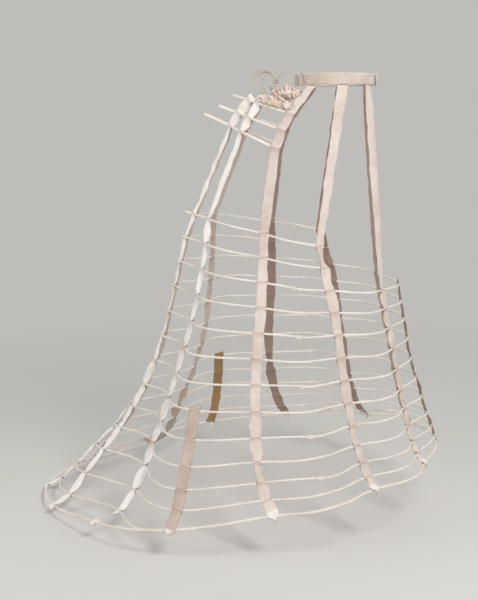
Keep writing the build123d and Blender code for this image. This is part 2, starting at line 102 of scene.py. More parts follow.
def add(tree, kind, settings=None, stops=(), **links):
    """One shader node, with its settings, its ramp's stops, its input values and what feeds it."""
    node = tree.nodes.new(kind)
    for name, value in (settings or {}).items():
        setattr(node, name, value)
    for i, (position, colour) in enumerate(stops):
        node.color_ramp.elements[i].position = position
        node.color_ramp.elements[i].color = colour
    for name, value in links.items():
        key = int(name[1:]) if name[0] == "i" and name[1:].isdigit() else name.replace("_", " ")
        if isinstance(value, bpy.types.NodeSocket):
            tree.links.new(value, node.inputs[key])
        else:
            node.inputs[key].default_value = value
    return node


def cotton(name, clean, soiled, stain, thread_mm, roughness, sheen, weave_depth):
    """Old cotton: uneven dye, soiling in patches, slubs, and threads that catch the light."""
    material = bpy.data.materials.new(name)
    material.use_nodes = True
    tree = material.node_tree
    shader = tree.nodes["Principled BSDF"]
    place = add(tree, "ShaderNodeTexCoord").outputs["Object"]
    patches = add(tree, "ShaderNodeTexNoise", Vector=place, Scale=1000 / PATCH_MM, Detail=5, Roughness=0.6)
    slubs = add(tree, "ShaderNodeTexNoise", Vector=place, Scale=1000 / SLUB_MM, Detail=3, Roughness=0.7)
    spots = add(tree, "ShaderNodeTexNoise", Vector=place, Scale=1000 / SPOT_MM, Detail=6, Roughness=0.75)
    dyed = add(tree, "ShaderNodeValToRGB", stops=((0.36, linear(clean)), (0.72, linear(soiled))),
               Fac=patches.outputs["Fac"])
    fleck = add(tree, "ShaderNodeValToRGB", stops=((0.35, grey(0.93)), (0.62, grey(1.0))),
                Fac=slubs.outputs["Fac"])
    flecked = add(tree, "ShaderNodeMix", {"data_type": "RGBA", "blend_type": "MULTIPLY"},
                  i0=1.0, i6=dyed.outputs["Color"], i7=fleck.outputs["Color"])
    mark = add(tree, "ShaderNodeValToRGB", stops=((0.60, grey(0)), (0.78, grey(0.6))),
               Fac=spots.outputs["Fac"])
    marked = add(tree, "ShaderNodeMix", {"data_type": "RGBA"},
                 i0=mark.outputs["Color"], i6=flecked.outputs[2], i7=linear(stain))
    tree.links.new(marked.outputs[2], shader.inputs["Base Color"])
    # The weave is drawn about twice as coarse as its threads, so that it shows.
    warp = add(tree, "ShaderNodeTexWave", {"wave_type": "BANDS", "bands_direction": "DIAGONAL"},
               Vector=place, Scale=1000 / thread_mm / 6.28, Distortion=1.2, Detail=2, Detail_Scale=2)
    fuzz = add(tree, "ShaderNodeTexNoise", Vector=place, Scale=1000 / thread_mm, Detail=4)
    height = add(tree, "ShaderNodeMix", {"data_type": "FLOAT"},
                 i0=0.5, i2=warp.outputs["Fac"], i3=fuzz.outputs["Fac"])
    bump = add(tree, "ShaderNodeBump", Strength=0.5, Distance=weave_depth, Height=height.outputs[0])
    tree.links.new(bump.outputs["Normal"], shader.inputs["Normal"])
    shader.inputs["Roughness"].default_value = roughness
    shader.inputs["Sheen Weight"].default_value = sheen
    shader.inputs["Sheen Roughness"].default_value = 0.5
    shader.inputs["Specular IOR Level"].default_value = 0.25
    return material


# Fine cotton braid over steel: matt and off-white with brown handling marks, smooth but for
# threads about a millimetre apart.
steel_cover = cotton("braided_steel_cover", "F1EAE1", "DFD3C6", "B9A591", 1.0, 0.55, 0.2, 0.0001)


def section_centres(node):
    """Centre of each section of a steel's solid, in order round the wearer, and its edge's way up."""
    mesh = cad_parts[node].data
    flats = [p for p in mesh.polygons if p.normal.z > EDGE_FACES_UP]
    edge_up = max(flats, key=lambda p: p.area).normal.copy()
    heights = [v.co.dot(edge_up) for v in mesh.vertices]
    low, high = min(heights), max(heights)
    lower = [v.co.copy() for v, h in zip(mesh.vertices, heights) if h < low + SAME_LEVEL]
    lower.sort(key=lambda p: math.atan2(p.x, p.y - WEARER.y))
    tree = kdtree.KDTree(len(lower))
    for i, p in enumerate(lower):
        tree.insert(p, i)
    tree.balance()
    centres, used = [], set()
    for i, p in enumerate(lower):
        if i in used:
            continue
        near = [j for _, j, _ in tree.find_range(p, SECTION_REACH) if j not in used]
        used.update(near)
        corners = [lower[j] for j in near]
        far = max(corners, key=lambda q: (q - p).length)
        centres.append((p + far) / 2 + edge_up * (high - low) / 2)
    return centres, edge_up, high - low


def joined(points, limit):
    """Points with any two that nearly meet made one."""
    kept = [points[0]]
    for p in points[1:]:
        if (p - kept[-1]).length > limit:
            kept.append(p)
        else:
            kept[-1] = (kept[-1] + p) / 2
    return kept


def smooth_line(points, closed, step):
    """Even curve through the points; short runs hold their own direction, as a sewn steel does."""
    count = len(points)

    def gap(i):
        return (points[(i + 1) % count] - points[i % count]).length

    def direction(i):
        if not closed and i in (0, count - 1):
            a, b = (0, 1) if i == 0 else (count - 2, count - 1)
            return (points[b] - points[a]).normalized()
        before, after = gap(i - 1), gap(i)
        back = (points[i % count] - points[i - 1]) / before
        ahead = (points[(i + 1) % count] - points[i % count]) / after
        return ((back * after**2 + ahead * before**2) / (before**2 + after**2)).normalized()

    line = []
    for i in range(count if closed else count - 1):
        a, b, span = points[i], points[(i + 1) % count], gap(i)
        start, end = direction(i) * span, direction(i + 1) * span
        pieces = max(1, round(span / step))
        for k in range(pieces):
            t = k / pieces
            line.append(a * (2 * t**3 - 3 * t**2 + 1) + start * (t**3 - 2 * t**2 + t)
                        + b * (3 * t**2 - 2 * t**3) + end * (t**3 - t**2))
    return line if closed else line + [points[-1]]


def mesh_object(name, vertices, faces, material):
    """A smooth piece of the object from its points and faces."""
    mesh = bpy.data.meshes.new(name)
    mesh.from_pydata(vertices, [], faces)
    mesh.polygons.foreach_set("use_smooth", [True] * len(mesh.polygons))
    mesh.materials.append(material)
    mesh.validate()
    obj = bpy.data.objects.new(name, mesh)
    bpy.context.scene.collection.objects.link(obj)
    return obj


def tube(line, closed, section_at):
    """Points and faces of a section carried along a line; section_at gives each place's points."""
    count = len(line)
    vertices, faces = [], []
    for i, here in enumerate(line):
        if closed:
            along = (line[(i + 1) % count] - line[i - 1]).normalized()
        else:
            along = (line[min(i + 1, count - 1)] - line[max(i - 1, 0)]).normalized()
        vertices += section_at(i, here, along)
    around = len(vertices) // count
    for i in range(count if closed else count - 1):
        for k in range(around):
            a, b = i * around, (i + 1) % count * around
            faces.append((a + k, a + (k + 1) % around, b + (k + 1) % around, b + k))
    if not closed:
        faces.append(tuple(range(around))[::-1])
        faces.append(tuple(range((count - 1) * around, count * around)))
    return vertices, faces


def rounded_flat(height, thickness):
    """Section of a covered flat steel: a flat strip with its edges rounded by the braid."""
    points = []
    for k in range(COVER_CORNERS):
        a = 2 * math.pi * k / COVER_CORNERS
        c, s = math.cos(a), math.sin(a)
        points.append((math.copysign(abs(c)**COVER_EDGE_CURVE, c) * height / 2,
                       math.copysign(abs(s)**COVER_FACE_CURVE, s) * thickness / 2))
    return points


steels = {}
for node in sorted(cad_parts):
    if not (node.startswith("hoop_") or node.startswith("bustle_steel")) or node == "hoop_clasps":
        continue
    centres, edge_up, height = section_centres(node)
    centres = joined(centres, NEARLY_MET)
    closed = node not in OPEN_STEELS
    thickness = BUSTLE_THICKNESS if "bustle" in node else HOOP_THICKNESS
    thickness = HEM_THICKNESS if node == "hoop_14" else thickness
    steels[node] = {"centres": centres, "up": edge_up, "thickness": thickness, "closed": closed}
    profile = rounded_flat(height, thickness)

    def cover(i, here, along):
        side = edge_up.cross(along).normalized()
        return [here + edge_up * a + side * b for a, b in profile]

    line = smooth_line(centres, closed, COVER_STEP)
    piece = mesh_object("covered_" + node, *tube(line, closed, cover), steel_cover)
    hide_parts(node)
    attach(piece, "root")


# Fourteen cotton tapes carry the steels. Each is woven double, open as a pocket wherever a
# steel passes, and hangs slack and creased between; six of them are sewn into the band.
TAPE_WIDTH, TAPE_PLY = 0.026, 0.0006
TAPE_ROW, TAPE_COLUMNS = 0.0034, 8
TWILL_MM = (1.3, 1.6)
POCKET_RUN = (0.0265, 0.0295)
POCKET_HALF = 0.014
POCKET_FLAT, POCKET_REACH, POCKET_ROOM = 0.003, 0.010, 0.0006
PLY_GAP = 0.00005
CLOTH_NEAR_STEEL = 0.0155
BELOW_BAND = -0.0150
# A tape that starts lower than this is as narrow at its free top end as at its first steel.
LOW_START = -0.05
TAIL_LENGTH, TAIL_TURN, TAIL_NARROWS = 0.013, 1.9, 0.4
# Spans shorter than these, in metres, turn, cup and sag less.
FULL_TURN_SPAN, FULL_SAG_SPAN = 0.045, 0.05
SAG = 0.002
RIPPLE_REACH, RIPPLE, RIPPLE_MM = 0.016, 0.0010, 6.5
# Near a steel the tape is tinted pinkish brown, partly rust and partly painted shade of the pocket.
RUST_AND_SHADE_REACH, RUST_AND_SHADE_SHARE = 0.0045, 0.55
# Sway of the edges and rumpling of the face: where a tape is flat, held, and slack.
SWAY = {"flat": 0.0010, "held": 0.0032, "slack": 0.0052}
RUMPLE = {"flat": 0.0006, "held": 0.0010, "slack": 0.0019}
FRAY = 0.0008
CRINKLE = 0.0004
PALE_END_ABOVE, PALE_END_ABOVE_FLAT, PALE_END_FADE = 0.015, 0.003, 0.004


def woven_tape(name, clean, soiled, stain, inner_shade):
    """Tape: a twill with firm selvedges, read from the weave attribute in mm, with painted shade inside."""
    material = cotton(name, clean, soiled, stain, 1.1, 0.82, 0.35, 0.0005)
    tree = material.node_tree
    shader = tree.nodes["Principled BSDF"]
    weave = add(tree, "ShaderNodeAttribute", {"attribute_name": "weave"})
    spots = add(tree, "ShaderNodeSeparateXYZ", Vector=weave.outputs["Vector"])
    across, down, ply = spots.outputs["X"], spots.outputs["Y"], spots.outputs["Z"]
    rib = add(tree, "ShaderNodeMath", {"operation": "MULTIPLY"}, i0=across, i1=2 * math.pi / TWILL_MM[0])
    diagonal = add(tree, "ShaderNodeMath", {"operation": "MULTIPLY_ADD"},
                   i0=down, i1=2 * math.pi / TWILL_MM[1], i2=rib.outputs[0])
    twill = add(tree, "ShaderNodeMath", {"operation": "SINE"}, i0=diagonal.outputs[0]).outputs[0]
    from_middle = add(tree, "ShaderNodeMath", {"operation": "ABSOLUTE"}, i0=across)
    to_edge = add(tree, "ShaderNodeMath", {"operation": "DIVIDE"},
                  i0=from_middle.outputs[0], i1=TAPE_WIDTH * 1000 / 2)
    selvedge = add(tree, "ShaderNodeValToRGB", stops=((0.84, grey(0.0)), (0.90, grey(1.0))),
                   Fac=to_edge.outputs[0])
    height = add(tree, "ShaderNodeMath", {"operation": "MULTIPLY_ADD"},
                 i0=twill, i1=0.35, i2=selvedge.outputs["Color"])
    thread_bump = shader.inputs["Normal"].links[0].from_socket
    bump = add(tree, "ShaderNodeBump", Strength=0.45, Distance=0.0005,
               Height=height.outputs[0], Normal=thread_bump)
    tree.links.new(bump.outputs["Normal"], shader.inputs["Normal"])
    base = shader.inputs["Base Color"].links[0].from_socket
    # Rust and painted shade tint the cloth where it wraps a hoop; the inner ply is browner, as painted
    # shade.
    rust_and_shade = add(tree, "ShaderNodeAttribute", {"attribute_name": "rust_and_shade"})
    rust_and_shade_tinted = add(tree, "ShaderNodeMix", {"data_type": "RGBA"},
                 i0=rust_and_shade.outputs["Fac"], i6=base, i7=linear("B99A84"))
    inside = add(tree, "ShaderNodeValToRGB", stops=((0.0, grey(0.72)), (0.01, grey(0.0))), Fac=ply)
    inner_shaded = add(tree, "ShaderNodeMix", {"data_type": "RGBA"},
                i0=inside.outputs["Color"], i6=rust_and_shade_tinted.outputs[2], i7=linear(inner_shade))
    # The raw ends are turned up and were never sewn down, and are painted near white.
    pale_end = add(tree, "ShaderNodeAttribute", {"attribute_name": "pale_end"})
    ended = add(tree, "ShaderNodeMix", {"data_type": "RGBA"},
                i0=pale_end.outputs["Fac"], i6=inner_shaded.outputs[2], i7=linear("EFE9E2"))
    threads = add(tree, "ShaderNodeValToRGB", stops=((0.0, grey(0.93)), (1.0, grey(1.0))), Fac=twill)
    shaded = add(tree, "ShaderNodeMix", {"data_type": "RGBA", "blend_type": "MULTIPLY"},
                 i0=1.0, i6=ended.outputs[2], i7=threads.outputs["Color"])
    tree.links.new(shaded.outputs[2], shader.inputs["Base Color"])
    return material


# Cotton twill tape, soft and matt: cream where it is washed and a little yellowed, pinker and
# darker where it has aged, white at the back, and a later tan one on the far side of the train.
cream_tape = woven_tape("cream_cotton_tape", "E7DAD1", "D8C6BA", "B79C89", "A98C7A")
aged_tape = woven_tape("aged_cotton_tape", "D3C2B6", "BDA798", "9F8370", "93766A")
white_tape = woven_tape("bleached_cotton_tape", "FBF8F4", "F0E8E0", "CDBBAA", "B79D8B")
tan_tape = woven_tape("tan_cotton_tape", "C49C6C", "B18A5C", "8A673F", "A9814F")

# How each tape hangs, above the eighth hoop and below it: degrees that it turns towards the
# wearer's side, how far it cups in mm, and its folded width at a steel and between two.
Manner = namedtuple("Manner", "turn cup at_steel between")
TAPE_HABITS = {
    "front_tape": (Manner(30, 1.5, 0.36, 0.44), Manner(40, 2.0, 0.34, 0.52), aged_tape),
    "back_tape": (Manner(24, 1.0, 0.36, 0.40), Manner(28, 1.6, 0.40, 0.50), white_tape),
    "side_front_tape": (Manner(-26, 2.0, 0.56, 0.66), Manner(-34, 3.0, 0.46, 0.72), cream_tape),
    "side_tape": (Manner(4, 1.6, 0.84, 0.94), Manner(8, 2.8, 0.74, 0.90), cream_tape),
    "side_back_tape": (Manner(3, 0.7, 0.94, 0.98), Manner(4, 1.8, 0.88, 0.97), cream_tape),
    "back_side_tape": (Manner(50, 0.8, 0.46, 0.56), Manner(48, 2.6, 0.40, 0.84), white_tape),
    "centre_tape": (Manner(34, 0.6, 0.34, 0.34), Manner(18, 1.0, 0.56, 0.68), white_tape),
    "train_tape": (Manner(2, 0.5, 0.99, 1.0), Manner(2, 0.5, 0.99, 1.0), aged_tape),
}
# The two far-side tapes take the darker aged cloth, for age and as painted shade; the far train tape is a
# later tan one.
OWN_CLOTH = {"side_back_tape_left": aged_tape, "side_tape_left": aged_tape, "train_tape_left": tan_tape}
FIRST_LOOSE_HOOP = 8
# Spans below a named steel that turn, cup and fold in their own way.
OWN_WAY = {
    ("side_tape_right", "hoop_01"): Manner(58, 1.0, 0.60, 0.80),
    ("side_tape_right", "hoop_11"): Manner(-24, 2.5, 0.70, 0.80),
    ("side_tape_left", "hoop_02"): Manner(-50, 1.5, 0.70, 0.80),
    ("side_back_tape_right", "hoop_10"): Manner(52, 2.5, 0.62, 0.80),
    ("side_back_tape_right", "hoop_11"): Manner(-26, 2.5, 0.78, 0.95),
    ("side_back_tape_left", "hoop_08"): Manner(40, 2.0, 0.70, 0.80),
    ("back_side_tape_left", "hoop_05"): Manner(70, 2.0, 0.50, 0.60),
    ("back_side_tape_right", "bustle_steel_1"): Manner(30, 2.5, 0.72, 0.82),
    ("back_side_tape_right", "bustle_steel_2"): Manner(30, 2.5, 0.66, 0.74),
    ("back_side_tape_right", "hoop_13"): Manner(150, 2.5, 0.34, 0.36),
    ("centre_tape_right", "bustle_steel_1"): Manner(40, 3.0, 0.78, 0.92),
    ("centre_tape_right", "bustle_steel_2"): Manner(40, 3.0, 0.68, 0.80),
    ("centre_tape_right", "hoop_07"): Manner(60, 2.0, 0.50, 0.75),
}
Knot = namedtuple("Knot", "place along steel")
Row = namedtuple("Row", "middle hand out open_by width bow near travelled ripple loose")


def crossings(tape):
    """Where a tape's pockets hold the steels: middle and direction of the straight run inside each."""
    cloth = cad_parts[tape].data.vertices
    tree = kdtree.KDTree(len(cloth))
    for i, v in enumerate(cloth):
        tree.insert(v.co, i)
    tree.balance()
    found = []
    for node, steel in steels.items():
        points = steel["centres"]
        runs = [((a + b) / 2, b - a) for a, b in zip(points, points[1:] + points[:1])
                if POCKET_RUN[0] < (b - a).length < POCKET_RUN[1]]
        if not steel["closed"] and node != "hoop_13":
            for end, inner in ((points[0], points[1]), (points[-1], points[-2])):
                runs.append((inner + (end - inner).normalized() * POCKET_HALF, end - inner))
        near = [(tree.find(middle)[2], middle, run) for middle, run in runs]
        near = [spot for spot in near if spot[0] < CLOTH_NEAR_STEEL]
        if near:
            _, middle, run = min(near, key=lambda spot: spot[0])
            found.append(Knot(middle, run.normalized(), node))
    return sorted(found, key=lambda knot: -knot.place.z)


def waist_end(tape):
    """Middle and direction of a tape's end inside the waistband."""
    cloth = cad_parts[tape].data.vertices
    top = max(v.co.z for v in cloth)
    corners = [v.co for v in cloth if v.co.z > top - SAME_LEVEL]
    middle = sum(corners, Vector()) / len(corners)
    far = max(corners, key=lambda c: (c - middle).length)
    return middle, (far - middle).normalized()


def tape_knots(tape):
    """Places that hold a tape: the band or its free top end, each steel, and its tail."""
    knots = []
    if max(v.co.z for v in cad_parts[tape].data.vertices) > 0:
        middle, hand = waist_end(tape)
        knots = [Knot(middle, hand, None), Knot(Vector((middle.x, middle.y, BELOW_BAND)), hand, None)]
    knots += crossings(tape)
    if knots[0].steel:
        first = knots[0].place
        end = first + (first - knots[1].place).normalized() * TAIL_LENGTH
        knots.insert(0, Knot(end, knots[0].along, None))
    last = knots[-1].place
    end = last + (last - knots[-2].place).normalized() * TAIL_LENGTH
    return knots + [Knot(end, knots[-1].along, None)]


def tape_hands(knots):
    """Which way a tape's width lies at each of its knots, with its face outward."""
    hands = []
    for i, knot in enumerate(knots):
        down = (knots[min(i + 1, len(knots) - 1)].place - knots[max(i - 1, 0)].place).normalized()
        hand = (knot.along - down * knot.along.dot(down)).normalized()
        if i == 0:
            outward = Vector((knot.place.x - WEARER.x, knot.place.y - WEARER.y, 0))
            turned_right = hand.cross(down).dot(outward) > 0
        else:
            turned_right = hand.dot(hands[-1]) > 0
        hands.append(hand if turned_right else -hand)
    return hands


def is_loose(steel):
    """Whether a tape hangs slack below this steel."""
    return bool(steel) and steel.startswith("hoop") and int(steel[-2:]) >= FIRST_LOOSE_HOOP


def pocket_opening(knot, distance):
    """How far a pocket's plies part at a distance from its steel."""
    if not knot.steel:
        return 0.0
    ease = 1 - max(0, min(1, (distance - POCKET_FLAT) / (POCKET_REACH - POCKET_FLAT)))
    room = steels[knot.steel]["thickness"] / 2 + POCKET_ROOM
    return room * ease * ease * (3 - 2 * ease)


def tape_rows(tape, knots, shake):
    """Every row of a tape from its top end to its tail, and its length."""
    side = -1 if tape.endswith("left") else 1
    upper, lower, _ = TAPE_HABITS[tape.removesuffix("_right").removesuffix("_left")]
    hands = tape_hands(knots)
    widths = []
    for i, knot in enumerate(knots):
        manner = OWN_WAY.get((tape, knot.steel), lower if is_loose(knot.steel) else upper)
        widths.append(manner.at_steel if knot.steel or i == len(knots) - 1 else 1.0)
    if not knots[0].steel and knots[0].place.z < LOW_START:
        widths[0] = widths[1]
    rows = []
    travelled = 0.0
    for i, (a, b) in enumerate(zip(knots, knots[1:])):
        span = (b.place - a.place).length
        down = (b.place - a.place).normalized()
        count = max(3, round(span / TAPE_ROW))
        tail = i == len(knots) - 2
        turn, cup, _, between = OWN_WAY.get((tape, a.steel), lower if is_loose(a.steel) else upper)
        if (tape, a.steel) not in OWN_WAY:
            turn = turn * shake.uniform(0.6, 1.3) + shake.uniform(-5, 5)
            between *= shake.uniform(0.86, 1.08)
        roll = math.radians(turn) * side * min(1, span / FULL_TURN_SPAN)
        bow = shake.uniform(0.4, 1.0) * cup / 1000 * min(1, span / FULL_SAG_SPAN)
        sag = shake.uniform(-SAG, SAG) * min(1, span / FULL_SAG_SPAN)
        for k in range(count + (1 if tail else 0)):
            t = k / count
            hand = hands[i].lerp(hands[i + 1], t)
            hand = (hand - down * hand.dot(down)).normalized()
            swell = max(0, math.sin(math.pi * t)) if not tail else 0
            turned = side * TAIL_TURN * t if tail and a.steel else roll * swell**0.6
            hand = Matrix.Rotation(turned, 3, -down) @ hand
            out = hand.cross(down).normalized()
            width = widths[i] + (widths[i + 1] - widths[i]) * t
            width += (between - (widths[i] + widths[i + 1]) / 2) * swell**0.8
            if tail:
                width = widths[i] * (1 - TAIL_NARROWS * t)
            elif not a.steel:
                width = widths[i] + (widths[i + 1] - widths[i]) * t**1.3
            ripple = max(0, 1 - min(t, 1 - t) * span / RIPPLE_REACH) * (1 if a.steel and b.steel else 0.3)
            to_steel = min(t * span if a.steel else 1, (1 - t) * span if b.steel else 1)
            rows.append(Row(a.place.lerp(b.place, t) + out * sag * swell, hand, out,
                            max(pocket_opening(a, t * span), pocket_opening(b, (1 - t) * span)),
                            width, bow * swell, 1 - min(1, to_steel / RUST_AND_SHADE_REACH),
                            travelled + t * span, ripple, is_loose(a.steel)))
        travelled += span
    return rows, travelled


def hanging_tape(tape):
    """Both plies of one tape, with its weave attribute, its rust and painted shade near the steels, and its
    paler ends.
    """
    kind = tape.removesuffix("_right").removesuffix("_left")
    material = OWN_CLOTH.get(tape, TAPE_HABITS[kind][2])
    seed = sum(map(ord, tape))
    rows, length = tape_rows(tape, tape_knots(tape), random.Random(seed))
    flat_tape = kind == "train_tape"
    pale_end_from = length - TAIL_LENGTH - (PALE_END_ABOVE_FLAT if flat_tape else PALE_END_ABOVE)
    vertices, faces, weave, rust_and_shade, pale_end = [], [], [], [], []
    for ply in (1, -1):
        def section(j, here, along):
            row = rows[j]
            s = row.travelled
            manner = "flat" if flat_tape else "slack" if row.loose else "held"
            gap = max(row.open_by, TAPE_PLY / 2 + PLY_GAP)
            loop = []
            # Noise takes its place across the tape and, in repeats a metre, down it.
            for surface in (1, -1):
                for c in range(TAPE_COLUMNS + 1):
                    u = (c / TAPE_COLUMNS * 2 - 1) * surface
                    crease = noise.noise(Vector((u * 1.3, s * 70, seed))) * RUMPLE[manner]
                    crease += noise.noise(Vector((u * 3.0, s * 260, seed + 9))) * CRINKLE
                    rippled = math.sin(s * 1000 / RIPPLE_MM + u * 2 + seed) * abs(u)**0.5
                    crease += rippled * RIPPLE * row.ripple
                    curl = row.bow * (1 - u * u) + crease * (1 - row.near)
                    wave = noise.noise(Vector((u * 5, s * 120, seed + 4))) * FRAY * abs(u)
                    wave += noise.noise(Vector((u * 0.8, s * 34, seed + 6))) * SWAY[manner] * (1 - row.near)
                    loop.append(row.middle + row.hand * (u * TAPE_WIDTH / 2 * row.width + wave)
                                + row.out * (curl + ply * gap + surface * TAPE_PLY / 2))
                    weave.append((u * TAPE_WIDTH * 1000 / 2, s * 1000, ply))
                    rust_and_shade.append(row.near * RUST_AND_SHADE_SHARE)
                    pale_end.append(max(0, min(1, (s - pale_end_from) / PALE_END_FADE)))
            return loop

        ply_vertices, ply_faces = tube([row.middle for row in rows], False, section)
        shift = len(vertices)
        vertices += ply_vertices
        faces += [tuple(shift + k for k in face) for face in ply_faces]
    piece = mesh_object("hanging_" + tape, vertices, faces, material)
    piece.data.attributes.new("weave", "FLOAT_VECTOR", "POINT").data.foreach_set(
        "vector", [v for place in weave for v in place])
    piece.data.attributes.new("rust_and_shade", "FLOAT", "POINT").data.foreach_set("value", rust_and_shade)
    piece.data.attributes.new("pale_end", "FLOAT", "POINT").data.foreach_set("value", pale_end)
    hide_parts(tape)
    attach(piece, "root")


for tape in sorted(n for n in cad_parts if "_tape" in n):
    hanging_tape(tape)


# The waistband: heavier cotton folded over at the top and pressed, stitched twice round, and
# lapped at the centre front. The tape ends are caught between its two plies.
BAND_DEPTH, BAND_WIDTH = 0.186, 0.214
BAND_TURN = 3
LAP_DEGREES, LAP_RISES_FROM, LAP_RISES_OVER = 15, 330, 20
BAND_STEP = 0.0046
BAND_SECTION = ((-13.5, 2.1), (-9, 2.3), (-3, 2.25), (3, 2.3), (9, 2.3), (12.2, 1.7), (13.4, 0.7),
                (13.4, -0.7), (12.2, -1.7), (9, -2.2), (0, -2.25), (-13.5, -2.1), (-13.5, -1.1),
                (0, -1.2), (11, -0.9), (12.2, 0), (11, 0.9), (0, 1.2), (-13.5, 1.1))
PRESSED_END = 0.5
BAND_SOFTNESS, BAND_SAG = 0.0007, 0.0011
STITCH, STITCH_GAP = 1.5, 0.65
STITCH_ROWS = (-0.0105, 0.0088)
STITCH_STANDS_OFF, STITCH_THREAD = 0.00245, 0.0007
STITCH_CORNERS = 5

# Stout plain cotton, flat and matt, browner than the tapes; its thread is paler and smoother.
band_cotton = cotton("waistband_cotton", "DACBBE", "C5B2A2", "A48A76", 0.9, 0.85, 0.3, 0.0005)
stitch_thread = cotton("sewing_thread", "F1EAE0", "DCCFBF", "B7A48F", 0.3, 0.7, 0.2, 0.0002)


def band_place(degrees):
    """Place on the waistband's middle line; past the centre front it steps out over itself."""
    lift = BAND_STEP * max(0, min(1, (degrees - LAP_RISES_FROM) / LAP_RISES_OVER))
    a = math.radians(degrees)
    return Vector((-math.sin(a) * (BAND_WIDTH / 2 + lift), -math.cos(a) * (BAND_DEPTH / 2 + lift), 0))


band_line = [band_place(BAND_TURN * k) for k in range((360 + LAP_DEGREES) // BAND_TURN + 1)]


def band_section(i, here, along):
    """Both plies of the band in one outline, joined over the top, and pressed thin at its ends."""
    out = along.cross(UP).normalized()
    out = out if out.dot(here) > 0 else -out
    pressed = PRESSED_END if i in (0, len(band_line) - 1) else 1.0
    loop = []
    for z, y in BAND_SECTION:
        soft = noise.noise(Vector((i * 0.35, z * 0.12, 3))) * BAND_SOFTNESS
        sag = noise.noise(Vector((i * 0.16, 0, 8))) * BAND_SAG
        loop.append(here + UP * (z / 1000 + sag) + out * (y / 1000 * pressed + soft))
    return loop


band = mesh_object("folded_waistband", *tube(band_line, False, band_section), band_cotton)
soften = band.modifiers.new("pressed edges", "SUBSURF")
soften.levels = soften.render_levels = 1
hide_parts("waistband")
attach(band, "root")


def stitch(start, end, out):
    """Points and faces of one sewn stitch, a small spindle lying on the cloth."""
    along = (end - start).normalized()
    side = along.cross(out).normalized()
    vertices, faces = [], []
    for t, swell in ((0.0, 0.35), (0.25, 1.0), (0.75, 1.0), (1.0, 0.35)):
        for k in range(STITCH_CORNERS):
            a = 2 * math.pi * k / STITCH_CORNERS
            round_it = out * math.cos(a) + side * math.sin(a)
            vertices.append(start.lerp(end, t) + round_it * STITCH_THREAD * swell / 2)
    for ring in range(3):
        for k in range(STITCH_CORNERS):
            a, b = ring * STITCH_CORNERS, (ring + 1) * STITCH_CORNERS
            faces.append((a + k, a + (k + 1) % STITCH_CORNERS, b + (k + 1) % STITCH_CORNERS, b + k))
    faces += [tuple(range(STITCH_CORNERS))[::-1], tuple(range(3 * STITCH_CORNERS, 4 * STITCH_CORNERS))]
    return vertices, faces


vertices, faces = [], []
for height in STITCH_ROWS:
    degrees = 1.0
    while degrees + STITCH < 360 + LAP_DEGREES - 1:
        start, end = band_place(degrees), band_place(degrees + STITCH)
        out = (start + end).normalized()
        lift = out * STITCH_STANDS_OFF + UP * height
        stitch_vertices, stitch_faces = stitch(start + lift, end + lift, out)
        faces += [tuple(len(vertices) + k for k in face) for face in stitch_faces]
        vertices += stitch_vertices
        degrees += STITCH + STITCH_GAP
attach(mesh_object("waistband_stitches", vertices, faces, stitch_thread), "root")


# Two gathered panels at each side of the back: fine cotton drawn up on a string into close
# puckers. The laces pull the right and left panels together across the back.
PANEL_ENDS = {
    "upper": (((80, 86), (118, 76), (147, 50)), -31, 0.0),
    "lower": (((98, 109), (146, 86), (174, 62)), -51, -0.22),
}
PANEL_MIDDLE_Y = 146
PANEL_HALF, PANEL_CLOTH = 0.0120, 0.0006
PANEL_STEP_MM, PANEL_COLUMNS = 0.7, 14
WIDE_FOLD_MM, FINE_FOLD_MM, FINE_FOLD_SHARE, FOLD_SHARPNESS = 10, 4.2, 0.55, 3.4
FOLD_DEPTH = 0.0046
DRAWN_ENDS, FULL_MIDDLE, RAGGED = 0.66, 0.44, 0.55
FRILL, BELLY, LUMP, RISE, SHIFT = 0.0050, 0.0040, 0.0045, 0.0040, 0.0022

# Thin soft cotton, matt with a faint bloom, pinker and browner where it is soiled.
panel_cotton = cotton("gathered_panel_cotton", "E4D5C8", "C9B09F", "A08673", 0.7, 0.88, 0.4, 0.0004)


